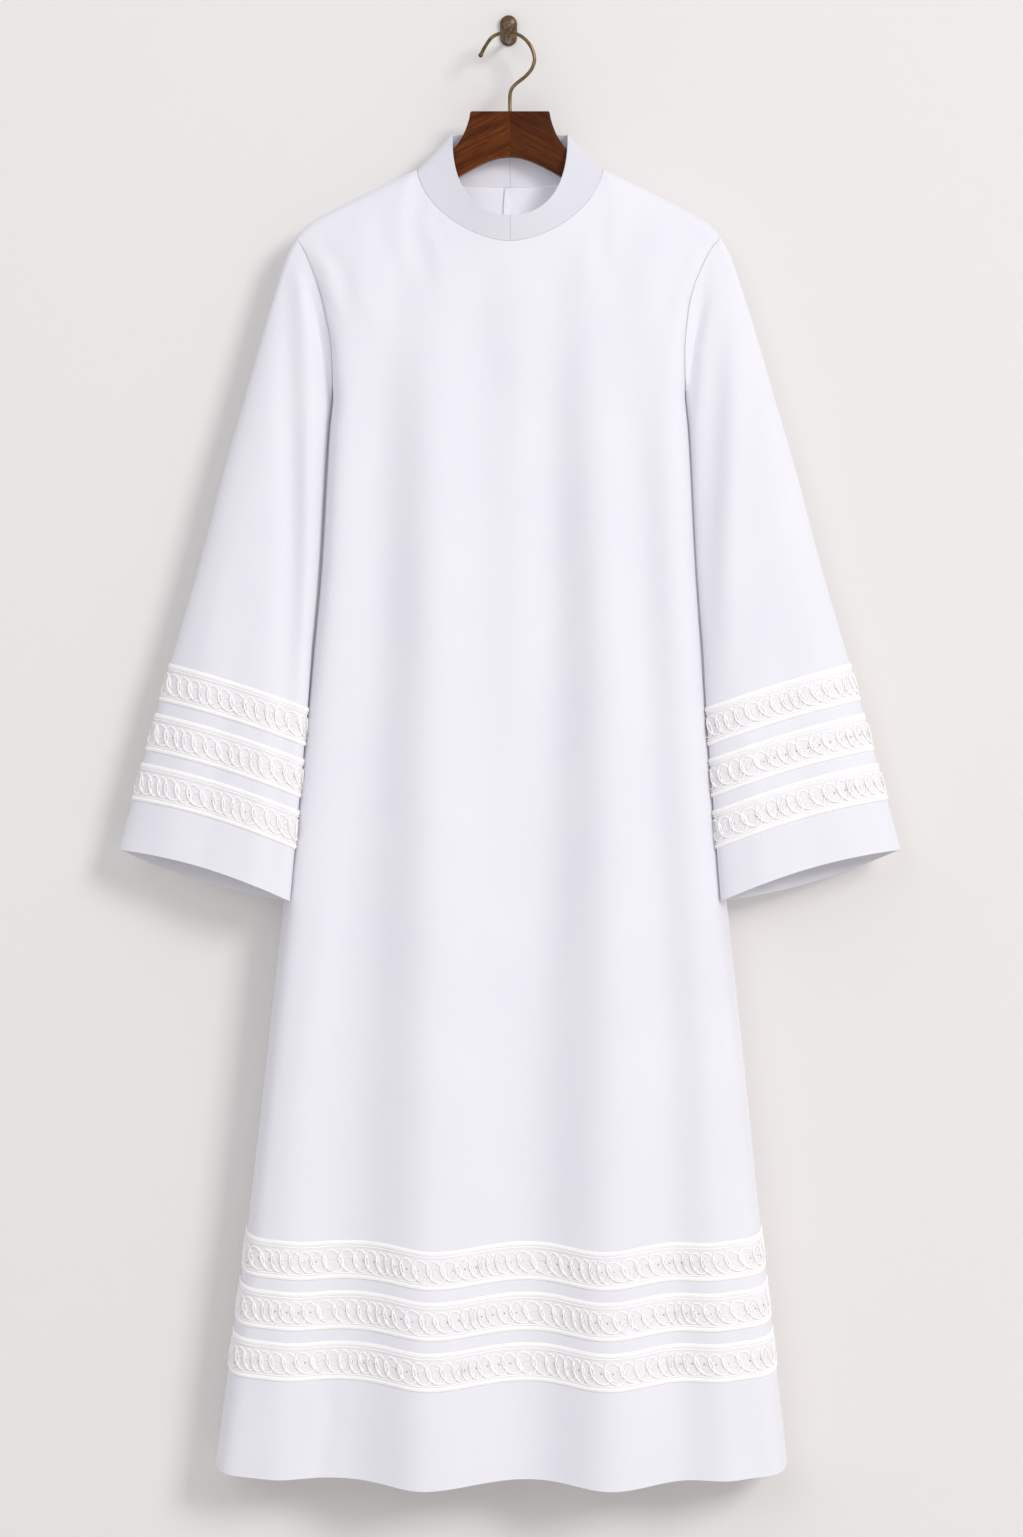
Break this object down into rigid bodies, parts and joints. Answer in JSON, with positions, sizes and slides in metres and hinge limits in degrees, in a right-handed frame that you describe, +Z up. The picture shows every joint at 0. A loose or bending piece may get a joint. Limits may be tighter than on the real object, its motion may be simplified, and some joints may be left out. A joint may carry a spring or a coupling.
{
  "type": "alb robe on a wooden hanger with a wall hook",
  "caption": "White alb robe with bands of cord lace at the hem and sleeves, hung by a wooden hanger from a small bronze wall hook.",
  "frame": {"origin": "on the wall plate's back face, level with the wire in the hook", "axes": "+Z up, +X to the right of someone who faces the robe's front, +Y into the wall"},
  "size_m": [0.86, 0.1099, 1.6193],
  "materials": {
    "cloth": "matt plain weave",
    "lace": "matt corded lace",
    "wood": "stained, satin lacquer",
    "brass_wire": "aged, satin",
    "bronze": "antique bronze, satin"
  },
  "bodies": {
    "root": {"front_panel": "cloth", "back_left": "cloth", "back_right": "cloth", "back_placket": "cloth", "collar_left": "cloth", "collar_right": "cloth", "sleeve_left": "cloth", "sleeve_right": "cloth", "sleeve_left_lace_1": "lace", "sleeve_left_lace_2": "lace", "sleeve_left_lace_3": "lace", "sleeve_right_lace_1": "lace", "sleeve_right_lace_2": "lace", "sleeve_right_lace_3": "lace", "hem_lace_1": "lace", "hem_lace_2": "lace", "hem_lace_3": "lace", "hanger_left": "wood", "hanger_right": "wood", "hanger_hook": "brass_wire", "wall_hook": "bronze", "screw_dome": "bronze"}
  },
  "joints": []
}
